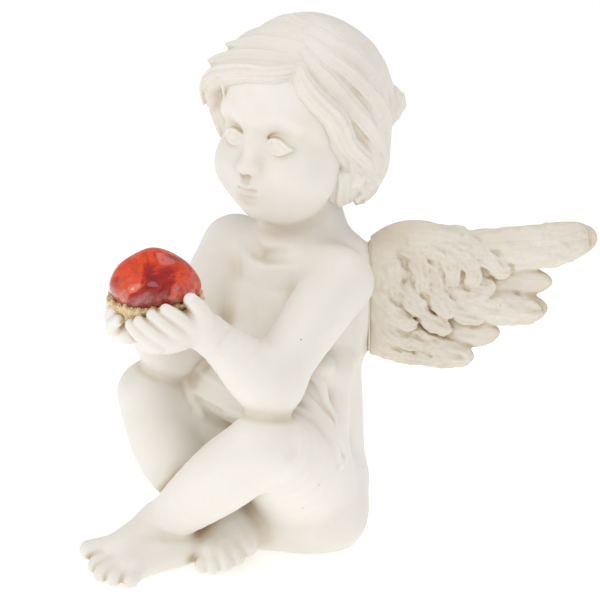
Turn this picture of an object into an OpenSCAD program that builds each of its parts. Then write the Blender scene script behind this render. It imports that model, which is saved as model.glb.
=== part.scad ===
// Seated cherub figurine in cast resin, holding a tumbled stone in cupped hands.
// The figure faces -Y and its left side is +X. It rests on z = 0, under the seat.
// One resin casting holds the body, head, hair and loincloth. Each wing is cast apart,
// butts on a flat seat behind the shoulder, and hangs on a steel pin and a film of glue.

/* [Figure] */
// Height from the seat to the crown of the head
figure_h = 75; // [62:1:90]
// Height from the shoulder joints to the crown
crown_drop = 35; // [31:1:40]
// Distance between the shoulder joints
shoulder_w = 21.4; // [18:0.2:26]
// Distance between the hip joints
hip_w = 8.4; // [7:0.2:11]
// Distance between the knee joints
knee_w = 23.4; // [19.4:0.2:28]
// Height of the knee joints
knee_h = 21.9; // [18:0.1:26]
// Reach of the knees in front of the seat's centre
knee_reach = 18.2; // [15:0.1:21.8]
// Depth that the sanded base cuts off the rounded seat
sanded = 0.9; // [0.4:0.1:1.5]

/* [Head] */
// Diameter of the head with its cap of hair
head_d = 23.2; // [20:0.2:28]
// Turn of the head to its left, in degrees
head_turn = 5; // [-10:1:15]
// Radius of the full cheeks and jaw
cheek_r = 8.3; // [7:0.1:9.8]
// Radius of the neck
neck_r = 5.4; // [4.5:0.1:6.4]

/* [Limbs] */
// Radius of the upper arm at the shoulder
shoulder_r = 4.9; // [4:0.1:5.8]
// Radius of the elbow
elbow_r = 4.0; // [3.4:0.1:4.8]
// Radius of the wrist
wrist_r = 2.6; // [2.1:0.1:3.1]
// Radius of the seat and the top of the thigh
hip_r = 8.7; // [7.3:0.1:10.4]
// Radius of the knee
knee_r = 4.8; // [4:0.1:5.7]
// Radius of the ankle
ankle_r = 3.3; // [2.8:0.1:3.9]
// Radius of a finger
finger_r = 1.05; // [0.85:0.05:1.25]
// Radius of the big toe
toe_r = 1.6; // [1.3:0.05:1.9]

/* [Torso] */
// Radius of the waist
waist_r = 8.3; // [7:0.1:9.9]
// Radius of the chest
chest_r = 8.4; // [7:0.1:10]

/* [Wing] */
// Length of a wing from its root face to its tip
wing_len = 30.6; // [25:0.2:36.8]
// Height of a wing's root
wing_root_h = 16.4; // [13.6:0.2:19.6]
// Thickness of a wing at its root
wing_t = 4.4; // [3.8:0.1:5.4]
// Thickness of a feather
feather_t = 2.2; // [1.8:0.1:2.8]
// Angle that a wing sweeps back from straight sideways, in degrees
wing_sweep = 45; // [38:1:52]
// Distance from the figure's axis to the wing's seat
wing_seat = 9.9; // [9.2:0.1:10.8]

/* [Fixings] */
// Diameter of the steel pin in each wing root
pin_d = 1.5; // [1.2:0.1:1.8]
// Length of the pin
pin_len = 9; // [7.5:0.5:11]
// Clearance round the pin and at its ends
pin_gap = 0.1; // [0.05:0.05:0.2]
// Thickness of the glue film between wing and seat
film_t = 0.25; // [0.15:0.05:0.4]

/* [Stone] */
// Width of the tumbled stone
stone_w = 12.4; // [10.4:0.2:14.8]
// Height of the tumbled stone
stone_h = 8.8; // [7.4:0.2:10.6]
// Depth that the stone sinks into the cupped hands
stone_sink = 2.2; // [1.6:0.1:2.8]
// Thickness of the glitter glue bed under the stone
bed_t = 1.3; // [1:0.1:1.7]

/* [Hidden] */

RESIN = "ivory";
BALL_FN = 18;
SMALL_FN = 12;
HALF_SPACE = 200;

// Joint centres of the left side; the right side mirrors them
shoulder_z = figure_h - crown_drop;
hip_z = hip_r - sanded;
hip = [hip_w / 2, -2, hip_z];
knee = [knee_w / 2, -knee_reach, knee_h];
shoulder = [shoulder_w / 2, -2.3, shoulder_z];
elbow_sit = 0.9;
elbow = [knee[0] - 0.4, knee[1] + 1.4, knee[2] + knee_r + elbow_r - elbow_sit];
head_r = head_d / 2;
head_at = [0, 1.7, figure_h - head_r];
cheeks_at = [0, -6.2, -8.6];

// The cupped hands meet in front of the chest, level with the shoulders less a hand's depth
palm_r = 2.9;
hands_y = elbow[1] - 9.4;
palm_z = shoulder_z - 3.2;
wrist = [stone_w / 2 - 1, elbow[1] + (hands_y - elbow[1]) * 0.6, palm_z];
stone_at = [0, hands_y, palm_z + palm_r + bed_t + stone_h / 2 - stone_sink];

// Feet: the left shin crosses in front of the right one
ankle_left = [-5.0, -knee_reach - 3.2, ankle_r + 2.3];
ankle_right = [-2.4, -knee_reach + 4.2, ankle_r + 2.3];

function mirror_x(p, side) = [p[0] * side, p[1], p[2]];
function between(a, b, t) = a + (b - a) * t;

module ball(at, r, fn = BALL_FN) {
    translate(at) sphere(r, $fn = fn);
}

// A rounded limb that runs through a list of [point, radius]
module limb(stations, fn = BALL_FN) {
    for (i = [0 : len(stations) - 2])
        hull() {
            ball(stations[i][0], stations[i][1], fn);
            ball(stations[i + 1][0], stations[i + 1][1], fn);
        }
}

module torso() {
    limb([[[0, 1.6, hip_z], hip_r - 0.4], [[0, 1.0, shoulder_z * 0.55], waist_r],
          [[0, -1.0, shoulder_z - 6], chest_r], [[0, -1.5, shoulder_z], chest_r - 1.4]]);
    // Belly, collar, shoulder blades and neck
    ball([0, -waist_r * 0.42, shoulder_z * 0.47], waist_r * 0.66);
    neck_base = [0, 1.6, shoulder_z + 5.5];
    for (side = [-1, 1]) {
        hull() {
            ball([0, -1.5, shoulder_z + 1], neck_r - 0.6);
            ball(mirror_x(shoulder, side), shoulder_r - 0.5);
        }
        hull() {
            ball(neck_base, neck_r - 0.5);
            ball([side * (shoulder_w * 0.28), 2.6, shoulder_z - 0.6], neck_r - 1.2);
        }
    }
    limb([[neck_base - [0, 0, 3], neck_r], [[0, 0.8, head_at[2] - head_r], neck_r - 0.3]]);
}

// The right elbow is drawn in over the lap a little
module arm(side) {
    elbow_in = side < 0 ? [1.6, 1.2, 0] : [0, 0, 0];
    limb([[mirror_x(shoulder, side), shoulder_r], [mirror_x(elbow, side) + elbow_in, elbow_r],
          [mirror_x(wrist, side), wrist_r]]);
}

// A half of the cupped bowl: palm, four curled fingers and a thumb
module hand(side) {
    palm = [stone_w * 0.25, hands_y, palm_z];
    limb([[mirror_x(wrist, side), wrist_r], [mirror_x(palm, side), palm_r]]);
    rim = stone_at[2] - stone_h / 2 + stone_sink;
    for (i = [0 : 3]) {
        x = 0.95 + i * stone_w * 0.118;
        back = 0.15 * i * i;
        knuckle = [x, hands_y - 1.8 + back, palm_z + 0.2 * i];
        middle = [x * 1.08, hands_y - stone_w * 0.32 + back, palm_z + 1.3 + 0.3 * i];
        tip = [x * 1.10, hands_y - stone_w * 0.34 - 0.3 + back, rim + 0.2 + 0.2 * i];
        limb([[mirror_x(knuckle, side), finger_r + 0.5], [mirror_x(middle, side), finger_r + 0.1],
              [mirror_x(tip, side), finger_r - 0.1]], SMALL_FN);
    }
    thumb_root = [stone_w * 0.44, hands_y + 1.2, palm_z + 1.0];
    thumb_tip = [stone_w * 0.55, hands_y - 0.8, rim + 2.4];
    limb([[mirror_x(thumb_root, side), finger_r + 0.7], [mirror_x(thumb_tip, side), finger_r]],
         SMALL_FN);
}

// Five toes in a fan: the big toe is at `from`, the little toe at `to`
module toes(ball_at, from, to) {
    for (i = [0 : 4]) {
        t = i / 4;
        r = i == 0 ? toe_r : toe_r * (0.72 - 0.07 * t);
        bulge = [0, -0.9 * sin(180 * t), 0];
        tip = between(from, to, t) + bulge;
        limb([[between(ball_at, tip, 0.45), r + 0.7], [tip, r]], SMALL_FN);
    }
}

module left_leg() {
    calf = between(knee, ankle_left, 0.42) + [0, 0.6, -0.6];
    limb([[hip, hip_r], [knee, knee_r], [calf, knee_r - 0.1], [ankle_left, ankle_r]]);
    sole = [ankle_left[0], ankle_left[1] - 7, ankle_r];
    heel = [ankle_left[0] + 2.4, ankle_left[1] + 1.4, ankle_r];
    limb([[heel, ankle_r], [sole, ankle_r - 0.1]]);
    hull() {
        ball(ankle_left, ankle_r);
        ball(sole, ankle_r - 0.2);
    }
    hull() {
        ball(sole, ankle_r - 0.2);
        ball(sole + [3.2, 0.4, -0.9], ankle_r - 0.9);
    }
    toes(sole, sole + [-2.6, -4.1, 0.3], sole + [5.6, -3.2, -2.0]);
}

module right_leg() {
    knee_right = mirror_x(knee, -1) + [0.5, 0.4, 0.5];
    calf = between(knee_right, ankle_right, 0.42) + [-0.8, -0.6, -0.6];
    limb([[mirror_x(hip, -1), hip_r], [knee_right, knee_r - 0.1], [calf, knee_r + 0.2],
          [ankle_right, ankle_r]]);
    sole = [ankle_right[0] + 6.4, ankle_right[1] - 3.4, ankle_r];
    heel = [ankle_right[0] - 1.4, ankle_right[1] + 0.8, ankle_r];
    limb([[heel, ankle_r], [sole, ankle_r - 0.2]]);
    hull() {
        ball(ankle_right, ankle_r);
        ball(ankle_right + [5, -0.6, -0.6], ankle_r - 0.4);
        ball(sole, ankle_r - 0.2);
    }
    toes(sole, sole + [3.6, 1.9, -0.7], sole + [0.9, -4.2, -2.0]);
}

// Skull, cheeks, nose, lips and ears under a cap of hair, in the head's own frame
module head() {
    translate(head_at) rotate(head_turn) {
        ball([0, 0, 0], head_r, 26);
        hull() {
            ball(cheeks_at, cheek_r, 22);
            ball([0, -2.6, -2], head_r - 2.4, 22);
        }
        ball(cheeks_at + [0, -cheek_r + 0.5, 2.0], 1.2, SMALL_FN);
        ball(cheeks_at + [0, -cheek_r * 0.86, -2.0], 1.3, SMALL_FN);
        ball(cheeks_at + [0, -cheek_r * 0.62, -4.6], 2.0, SMALL_FN);
        for (side = [-1, 1])
            ball([side * (head_r - 1.9), -0.6, -9.6], 1.9, SMALL_FN);
        hair();
    }
}

// Swept fringe over the brow, locks over the ears, a flick behind each and curls at the nape
module hair() {
    brow = [[-9.9, -6.0, 1.6], [-6.4, -9.4, 3.2], [0.2, -10.6, 4.4], [4.2, -9.6, 4.6]];
    for (i = [0 : len(brow) - 2])
        hull() {
            ball(brow[i], 1.9, 14);
            ball(brow[i + 1], 1.8, 14);
        }
    for (side = [-1, 1]) {
        limb([[[side * 4.2, -9.4, 5.2], 1.8], [[side * 9.2, -5.4, -1.0], 1.9],
              [[side * 10.2, -1.0, -6.4], 2.2], [[side * 8.2, 3.4, -11.6], 2.4]], 14);
        limb([[[side * 9.6, 4.0, -1.6], 2.4], [[side * 10.4, 5.8, 0.8], 1.0]], SMALL_FN);
        limb([[[side * 8.0, 4.0, -4.0], 2.6], [[side * 4.2, 4.8, -12.6], 2.5]], 14);
    }
    limb([[[0, 7.2, -4.6], 4.2], [[0, 5.8, -12.2], 3.0]], 14);
}

// Loincloth: gathered over the lap, with folds that fall from the waist across the left hip
module loincloth() {
    waist_z = shoulder_z * 0.65;
    hem = [hip_w / 2 + hip_r - 0.9, -4.8, hip_z + hip_r * 0.8];
    front = [waist_r * 0.97, -waist_r * 1.20, waist_z - 2.4];
    side_seam = [waist_r * 1.08, -waist_r * 0.36, waist_z + 1.6];
    for (i = [0 : 3]) {
        t = i / 3;
        top = between(front, side_seam, t);
        low = hem + [0.4 * t, -1.6 + 2.4 * t, 1.0 + 1.4 * t];
        middle = between(top, low, 0.52) + [0.7 - 0.4 * t, 0, 0.2];
        limb([[top, 1.0], [middle, 1.3], [low, 0.9]], SMALL_FN);
    }
    // Cloth behind the folds, from the waist down on to the thigh
    hull() {
        ball(front + [-1.6, 0.6, -0.6], 1.7, SMALL_FN);
        ball(side_seam + [-1.6, 0, -0.8], 1.7, SMALL_FN);
        ball(hem + [-2.6, 0, 0.4], 2.0, SMALL_FN);
        ball([waist_r * 0.5, -waist_r * 0.5, waist_z - 3], 3.0, SMALL_FN);
    }
    // Gathered cloth that fills the lap
    lap = [0, -waist_r * 1.2, hip_z + hip_r * 1.8];
    hull() {
        ball(lap + [-4.6, 0.2, 0.6], 5.2, 18);
        ball(lap + [3.6, 0.8, -1.0], 4.8, 18);
        ball(lap + [0, 3.6, 1.4], 5.2, 18);
        ball(lap + [0, 0.4, -9.0], 4.0, 18);
    }
}

// Frame of one wing: x runs out along the span from the root face, z stays up
module in_wing_frame(side) {
    rotate(side > 0 ? wing_sweep : 180 - wing_sweep)
        translate([wing_seat, 0, 0]) children();
}

root_mid_z = shoulder_z - 5.2;

// Boss on the back that carries the flat wing seat
module wing_boss(side) {
    in_wing_frame(side)
        hull()
            for (z = [-1, 1]) {
                translate([-5, 0, root_mid_z + z * wing_root_h * 0.34]) sphere(3, $fn = 16);
                translate([-1, 0, root_mid_z + z * (wing_root_h / 2 - wing_t / 2)])
                    rotate([0, 90, 0]) cylinder(1, r = wing_t / 2, $fn = 16);
            }
}

module pin_hole(side) {
    in_wing_frame(side)
        translate([-pin_len / 2 - pin_gap, 0, root_mid_z]) rotate([0, 90, 0])
            cylinder(pin_len + 2 * pin_gap + film_t, d = pin_d + 2 * pin_gap, $fn = 24);
}

module stone_body(grow = 0) {
    w = stone_w / 2 + grow;
    h = stone_h / 2 + grow;
    translate(stone_at)
        hull() {
            ball([-w * 0.40, -w * 0.40, -h * 0.10], w * 0.43, 24);
            ball([w * 0.44, w * 0.40, -h * 0.28], w * 0.38, 24);
            ball([-w * 0.06, w * 0.02, h - w * 0.42], w * 0.42, 24);
            ball([w * 0.24, -w * 0.38, -h * 0.24], w * 0.40, 24);
            ball([-w * 0.32, w * 0.36, -h * 0.16], w * 0.42, 24);
            ball([-w * 0.16, -w * 0.16, -h + w * 0.40], w * 0.40, 24);
        }
}

// The puddle of glue fills the bowl of the hands up to its brim
module bed_shape() {
    translate([stone_at[0], stone_at[1], stone_at[2] - stone_h / 2 + stone_sink])
        intersection() {
            resize([stone_w * 0.86, stone_w * 0.78, 2 * (stone_sink + bed_t)]) sphere(5, $fn = 28);
            translate([0, 0, -10]) cube([stone_w * 2, stone_w * 2, 20], center = true);
        }
}

module figure_casting() {
    color(RESIN)
        difference() {
            union() {
                torso();
                head();
                left_leg();
                right_leg();
                loincloth();
                for (side = [-1, 1]) {
                    arm(side);
                    hand(side);
                    wing_boss(side);
                }
            }
            translate([0, 0, -HALF_SPACE / 2]) cube(HALF_SPACE, center = true);
            for (side = [-1, 1])
                pin_hole(side);
            bed_shape();
            stone_body(0.02);
        }
}

// Point in the plane of the wing, from fractions of its length and of its root's height
function on_wing(u, v) = [wing_len * u, root_mid_z + wing_root_h * v];

// One feather from its quill to its round tip; `lift` moves it off the wing's middle plane
module feather(quill, tip, width, thick, lift) {
    hull() {
        translate([quill[0], -lift, quill[1]]) scale([1, thick / width, 1])
            sphere(width * 0.5, $fn = 12);
        translate([tip[0], -lift, tip[1]]) rotate([90, 0, 0])
            cylinder(thick, r = width / 2, center = true, $fn = 16);
    }
}

// A wing with its root face on x = film_t: an arched arm, long flight feathers fanned under it
// from the level tip to the root's foot, and short coverts on both faces
module wing(side) {
    flights = [[0.20, 0.36, 0.915, 0.50, 5.2], [0.20, 0.24, 0.754, 0.15, 4.4],
               [0.16, 0.10, 0.718, -0.06, 4.8], [0.13, -0.04, 0.525, -0.31, 4.6],
               [0.10, -0.18, 0.410, -0.48, 4.2], [0.06, -0.32, 0.250, -0.48, 4.0]];
    coverts = [[0.30, 0.50, 0.60, 0.28, 3.0], [0.24, 0.40, 0.50, 0.12, 3.0],
               [0.20, 0.28, 0.38, -0.02, 3.0], [0.18, 0.16, 0.27, -0.16, 3.2],
               [0.14, 0.10, 0.16, -0.16, 3.2]];
    in_wing_frame(side) difference() {
        union() {
            hull()
                for (z = [-1, 1])
                    translate([film_t, 0, root_mid_z + z * (wing_root_h / 2 - wing_t / 2)])
                        rotate([0, 90, 0]) cylinder(2.6, r1 = wing_t / 2, r2 = wing_t / 2 - 0.6, $fn = 16);
            arch = [[0.06, 0.36], [0.15, 0.54], [0.30, 0.52], [0.40, 0.46]];
            for (i = [0 : len(arch) - 2]) {
                from = on_wing(arch[i][0], arch[i][1]);
                to = on_wing(arch[i + 1][0], arch[i + 1][1]);
                hull() {
                    ball([from[0], 0, from[1]], wing_t / 2 + 0.2 - 0.2 * i, 16);
                    ball([to[0], 0, to[1]], wing_t / 2 - 0.2 * i, 16);
                }
            }
            for (i = [0 : len(flights) - 1]) {
                f = flights[i];
                feather(on_wing(f[0], f[1]), on_wing(f[2], f[3]), f[4], feather_t,
                        side * (i * 0.12 - 0.3));
            }
            for (f = coverts, face = [-1, 1])
                feather(on_wing(f[0], f[1]), on_wing(f[2], f[3]), f[4], feather_t * 0.7,
                        face * (feather_t * 0.5 + 0.2));
        }
        translate([-HALF_SPACE + film_t, 0, 0]) cube(2 * HALF_SPACE - 0.001, center = true);
    }
}

module drilled_wing(side) {
    difference() {
        wing(side);
        in_wing_frame(side)
            translate([0, 0, root_mid_z]) rotate([0, 90, 0])
                cylinder(pin_len / 2 + film_t + pin_gap, d = pin_d + 2 * pin_gap, $fn = 24);
    }
}

module left_wing() {
    color(RESIN) drilled_wing(1);
}

module right_wing() {
    color(RESIN) drilled_wing(-1);
}

// A steel pin, half in the back and half in the wing
module wing_pin(side) {
    in_wing_frame(side)
        translate([-pin_len / 2 + film_t / 2, 0, root_mid_z]) rotate([0, 90, 0])
            cylinder(pin_len, d = pin_d, $fn = 24);
}

module left_wing_pin() {
    color("silver") wing_pin(1);
}

module right_wing_pin() {
    color("silver") wing_pin(-1);
}

// The glue film has the outline of the wing seat and a hole for the pin
module wing_glue(side) {
    in_wing_frame(side)
        difference() {
            hull()
                for (z = [-1, 1])
                    translate([0, 0, root_mid_z + z * (wing_root_h / 2 - wing_t / 2)])
                        rotate([0, 90, 0]) cylinder(film_t, r = wing_t / 2 - 0.15, $fn = 16);
            translate([-1, 0, root_mid_z]) rotate([0, 90, 0])
                cylinder(2, d = pin_d + 2 * pin_gap, $fn = 24);
        }
}

module left_wing_glue() {
    color("wheat") wing_glue(1);
}

module right_wing_glue() {
    color("wheat") wing_glue(-1);
}

module gemstone() {
    color("firebrick") stone_body();
}

module gemstone_glue() {
    color("goldenrod")
        difference() {
            bed_shape();
            stone_body(0.02);
        }
}

figure_casting();
left_wing();
right_wing();
left_wing_pin();
right_wing_pin();
left_wing_glue();
right_wing_glue();
gemstone();
gemstone_glue();
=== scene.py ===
import math

import bpy
import numpy as np
import openvdb
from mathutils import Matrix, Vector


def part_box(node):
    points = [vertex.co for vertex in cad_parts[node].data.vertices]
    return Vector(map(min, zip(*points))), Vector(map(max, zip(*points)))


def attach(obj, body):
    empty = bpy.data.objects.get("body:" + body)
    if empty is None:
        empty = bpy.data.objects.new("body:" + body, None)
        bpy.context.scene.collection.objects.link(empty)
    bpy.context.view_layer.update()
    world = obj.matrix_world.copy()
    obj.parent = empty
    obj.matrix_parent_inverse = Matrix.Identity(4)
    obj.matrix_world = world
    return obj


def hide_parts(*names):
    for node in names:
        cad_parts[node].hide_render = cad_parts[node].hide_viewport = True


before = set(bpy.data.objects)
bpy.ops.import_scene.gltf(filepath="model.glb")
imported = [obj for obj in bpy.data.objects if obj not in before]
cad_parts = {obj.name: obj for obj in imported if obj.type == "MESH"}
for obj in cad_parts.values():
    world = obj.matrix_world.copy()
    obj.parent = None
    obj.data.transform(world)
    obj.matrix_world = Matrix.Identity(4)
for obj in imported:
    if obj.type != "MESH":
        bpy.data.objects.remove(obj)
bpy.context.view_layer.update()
figureTall = 75.0  # the sizes below are millimetres of a figure this tall
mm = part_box("figure_casting")[1][2] / figureTall
print("frame loaded, one unit is", round(mm, 6), "m")


# Clay: a block of signed depths that shapes are pressed into

claySettings = {
    "bodyCell": 0.2,
    "hairCell": 0.2,
    "wingCell": 0.17,
    "stoneCell": 0.2,
    "faceLimit": 196000,  # triangles a piece may have
    "open": 6.0,          # the depth of empty clay, far from any shape
    "margin": 2.2,        # how far round a shape the clay is worked
}


def newClay(low, high, cell):
    low = np.array(low, dtype=np.float32)
    size = np.ceil((np.array(high) - low) / cell).astype(int) + 1
    return {"low": low, "cell": cell, "depth": np.full(size, claySettings["open"], np.float32)}


def patchOf(clay, low, high):
    cell, size = clay["cell"], np.array(clay["depth"].shape)
    first = np.clip(np.floor((np.array(low) - clay["low"]) / cell).astype(int), 0, size - 1)
    last = np.clip(np.ceil((np.array(high) - clay["low"]) / cell).astype(int) + 1, first + 1, size)
    axes = [clay["low"][i] + cell * np.arange(first[i], last[i], dtype=np.float32) for i in range(3)]
    where = tuple(slice(first[i], last[i]) for i in range(3))
    return where, (axes[0][:, None, None], axes[1][None, :, None], axes[2][None, None, :])


def press(clay, where, depth, soft, cut=False):
    # a rounded union, or a rounded cut
    old = clay["depth"][where]
    if cut:
        lap = np.maximum(soft - np.abs(old + depth), 0) / soft
        clay["depth"][where] = np.maximum(old, -depth) + lap * lap * soft / 4
    else:
        lap = np.maximum(soft - np.abs(old - depth), 0) / soft
        clay["depth"][where] = np.minimum(old, depth) - lap * lap * soft / 4


def smoothPath(stations, steps):
    # a curve through the stations; every column is carried, radii too
    pts = np.array(stations, float)
    if len(pts) < 3 or steps < 2:
        return pts
    ends = np.vstack([2 * pts[0] - pts[1], pts, 2 * pts[-1] - pts[-2]])
    out = []
    for i in range(len(pts) - 1):
        a, b, c, d = ends[i:i + 4]
        for t in np.arange(steps) / steps:
            out.append(0.5 * (2 * b + (c - a) * t + (2 * a - 5 * b + 4 * c - d) * t ** 2
                              + (3 * b - a - 3 * c + d) * t ** 3))
    return np.array(out + [pts[-1]])


def coneDepth(grid, a, b):
    # a, b: x, y, z, radius
    side = b[:3] - a[:3]
    px, py, pz = grid[0] - a[0], grid[1] - a[1], grid[2] - a[2]
    t = np.clip((px * side[0] + py * side[1] + pz * side[2]) / max(float(side @ side), 1e-6), 0, 1)
    px, py, pz = px - side[0] * t, py - side[1] * t, pz - side[2] * t
    return np.sqrt(px * px + py * py + pz * pz) - (a[3] + (b[3] - a[3]) * t)


def limb(clay, stations, soft=1.0, cut=False, steps=3):
    # a rounded limb through stations of x, y, z, radius
    path = smoothPath(stations, steps).astype(np.float32)
    reach = path[:, 3].max() + soft + claySettings["margin"]
    where, grid = patchOf(clay, path[:, :3].min(0) - reach, path[:, :3].max(0) + reach)
    depth = None
    for a, b in zip(path[:-1], path[1:]):
        one = coneDepth(grid, a, b)
        depth = one if depth is None else np.minimum(depth, one)
    press(clay, where, depth, soft, cut)


def eggDepth(grid, centre, radii, turn=0.0, tip=0.0):
    # turn swings the egg about z, tip leans it about x, in degrees
    x, y, z = grid[0] - centre[0], grid[1] - centre[1], grid[2] - centre[2]
    if turn:
        c, s = math.cos(math.radians(turn)), math.sin(math.radians(turn))
        x, y = c * x + s * y, c * y - s * x
    if tip:
        c, s = math.cos(math.radians(tip)), math.sin(math.radians(tip))
        y, z = c * y + s * z, c * z - s * y
    inner = np.sqrt((x / radii[0]) ** 2 + (y / radii[1]) ** 2 + (z / radii[2]) ** 2)
    outer = np.sqrt((x / radii[0] ** 2) ** 2 + (y / radii[1] ** 2) ** 2 + (z / radii[2] ** 2) ** 2)
    return inner * (inner - 1) / np.maximum(outer, 1e-4)


def egg(clay, centre, radii, soft=1.0, cut=False, turn=0.0, tip=0.0):
    radii = np.array(radii, np.float32) * np.ones(3, np.float32)
    reach = radii.max() + soft + claySettings["margin"]
    where, grid = patchOf(clay, np.array(centre) - reach, np.array(centre) + reach)
    press(clay, where, eggDepth(grid, centre, radii, turn, tip), soft, cut)


def readClay(clay, points):
    spot = (points - clay["low"]) / clay["cell"]
    size = np.array(clay["depth"].shape)
    base = np.clip(np.floor(spot).astype(int), 0, size - 2)
    part = np.clip(spot - base, 0, 1).astype(np.float32)
    value = 0
    for corner in range(8):
        step = np.array([corner & 1, corner >> 1 & 1, corner >> 2 & 1])
        weight = np.prod(np.where(step, part, 1 - part), axis=1)
        i, j, k = (base + step).T
        value = value + weight * clay["depth"][i, j, k]
    return value


def slopeAt(clay, points):
    # the outward direction at each point
    ways = np.eye(3) * clay["cell"]
    slope = np.stack([readClay(clay, points + way) - readClay(clay, points - way) for way in ways], axis=1)
    return slope / np.maximum(np.linalg.norm(slope, axis=1, keepdims=True), 1e-6)


def creaseShadeAndWashOf(clay, points):
    # how shut in each point is, from 0 in the open to 1 in a crease; the resin finishes paint crease shade and
    # a washed-in tan from it
    slope, reaches = slopeAt(clay, points), (0.4, 0.9, 1.7)
    shut = sum(np.clip(1 - readClay(clay, points + slope * reach) / reach, 0, 1) for reach in reaches)
    return shut / len(reaches)


def collect(obj, name):
    # a plain mesh of the object with its modifiers worked in
    depsgraph = bpy.context.evaluated_depsgraph_get()
    mesh = bpy.data.meshes.new_from_object(obj.evaluated_get(depsgraph))
    mesh.name = name
    return mesh


def link(name, mesh):
    obj = bpy.data.objects.new(name, mesh)
    bpy.context.scene.collection.objects.link(obj)
    return obj


def skinOf(clay, name, limit=claySettings["faceLimit"]):
    # the clay's surface as a mesh object, in metres, with a crease value on each point that marks where shade
    # and a washed-in tan are painted
    depth = clay["depth"].copy()
    for axis in range(3):
        edge = np.moveaxis(depth, axis, 0)
        edge[0] = edge[-1] = claySettings["open"]
    grid = openvdb.FloatGrid(claySettings["open"])
    grid.copyFromArray(depth)
    points, triangles, quads = grid.convertToPolygons(isovalue=0.0, adaptivity=0.0)
    points = points * clay["cell"] + clay["low"]
    faces = [list(f) for f in triangles.tolist()] + quads.tolist()
    mesh = bpy.data.meshes.new(name)
    mesh.from_pydata(points.tolist(), [], faces)
    obj = link(name, mesh)
    count = len(triangles) + 2 * len(quads)
    if count > limit:
        thin = obj.modifiers.new("thin", "DECIMATE")
        thin.ratio = limit / count
        mesh = collect(obj, name)
        obj.modifiers.remove(thin)
        old, obj.data = obj.data, mesh
        bpy.data.meshes.remove(old)
    mesh = obj.data
    points = np.empty(len(mesh.vertices) * 3)
    mesh.vertices.foreach_get("co", points)
    points = points.reshape(-1, 3)
    a, b, c = (points[[p.vertices[k] for p in mesh.polygons]] for k in range(3))
    if np.einsum("ij,ij->i", a, np.cross(b, c)).sum() < 0:
        mesh.flip_normals()
    writeValue(mesh, "crease_shade_and_wash", creaseShadeAndWashOf(clay, points))
    mesh.vertices.foreach_set("co", (points * mm).ravel())
    mesh.shade_smooth()
    mesh.update()
    return obj, points


def writeValue(mesh, name, values):
    attribute = mesh.attributes.get(name) or mesh.attributes.new(name, "FLOAT", "POINT")
    attribute.data.foreach_set("value", np.asarray(values, np.float32))


# The figure

head = {"centre": (0.0, 1.7, 63.5), "turn": 5.0}


def onHead(x, y, z, *rest):
    c, s = math.cos(math.radians(head["turn"])), math.sin(math.radians(head["turn"]))
    hx, hy, hz = head["centre"]
    return (hx + c * x - s * y, hy + s * x + c * y, hz + z) + rest


def headPath(*stations):
    return [onHead(*one) for one in stations]


figure = {
    "block": ((-18, -37, -2.0), (18, 15.5, 75.5)),
    "fingerSoft": 0.2,
    "toeSoft": 0.45,
    "floorLevel": 0.0,
    "wingSeat": 9.9,         # from the middle to the flat that a wing sits on
    "wingTurn": 45.0,
}


def shapeTorso(clay):
    limb(clay, [(0, 1.9, 8.6, 8.3), (0, 1.3, 20, 8.3), (0, 0.2, 31, 8.3), (0, -1.2, 39.0, 6.6)], 1.0)
    egg(clay, (0, -4.4, 19.0), (6.9, 5.4, 7.4), 2.5)
    egg(clay, (-1.6, -5.4, 29.0), (7.0, 5.0, 5.0), 2.5)
    for side in (-1, 1):
        egg(clay, (side * 3.7, 1.9, 7.0), (5.9, 6.6, 7.2), 1.2)
        egg(clay, (side * 3.8, -5.5, 34.8), (3.8, 2.7, 3.2), 2.2)
        limb(clay, [(0, -1.2, 41.0, 4.4), (side * 9.4, -2.0, 40.0, 4.1)], 2.0)
        limb(clay, [(0, 1.8, 45.2, 4.3), (side * 6.2, 2.9, 39.4, 3.7)], 2.5)
        egg(clay, (side * 5.2, 5.6, 33.5), (3.4, 2.6, 5.0), 2.0)
    limb(clay, [(0, 1.5, 42.0, 5.0), (0, 0.9, 50.0, 4.8)], 2.2)
    limb(clay, [(0, 10.6, 12, 0.8), (0, 11.1, 22, 0.9), (0, 10.2, 34, 0.8)], 2.0, cut=True)
    limb(clay, [(0, 11.6, 2, 0.8), (0, 11.4, 8.5, 0.9), (0, 10.8, 12.5, 0.4)], 1.4, cut=True)
    egg(clay, (0, -10.1, 22.4), (0.5, 0.8, 0.6), 0.7, cut=True)
    # hollows over the collar bones
    for side in (-1, 1):
        limb(clay, [(side * 1.0, -6.6, 42.6, 0.5), (side * 4.6, -6.0, 43.6, 0.5)], 1.6, cut=True)


def shapeArm(clay, side, drawIn=(0, 0, 0)):
    # drawIn moves the elbow only; the shoulder and the wrist stay
    def at(x, y, z, r, share):
        return (side * (x + drawIn[0] * share), y + drawIn[1] * share, z + drawIn[2] * share, r)
    upper = [at(10.4, -2.1, 39.9, 4.5, 0), at(11.2, -7.2, 37.2, 4.35, 0.7), at(11.6, -12.6, 33.2, 4.0, 1),
             at(11.5, -16.2, 30.0, 4.4, 1)]
    lower = [at(11.4, -16.6, 29.8, 4.4, 1), at(10.6, -18.5, 31.2, 4.1, 0.8), at(8.7, -20.4, 33.9, 3.35, 0.4),
             at(6.0, -22.3, 36.5, 2.45, 0)]
    limb(clay, upper, 2.0)
    limb(clay, lower, 1.7)
    egg(clay, at(10.2, -14.6, 33.6, 0, 1)[:3], (2.8, 0.35, 1.2), 0.6, cut=True, turn=side * 24, tip=-34)


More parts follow.
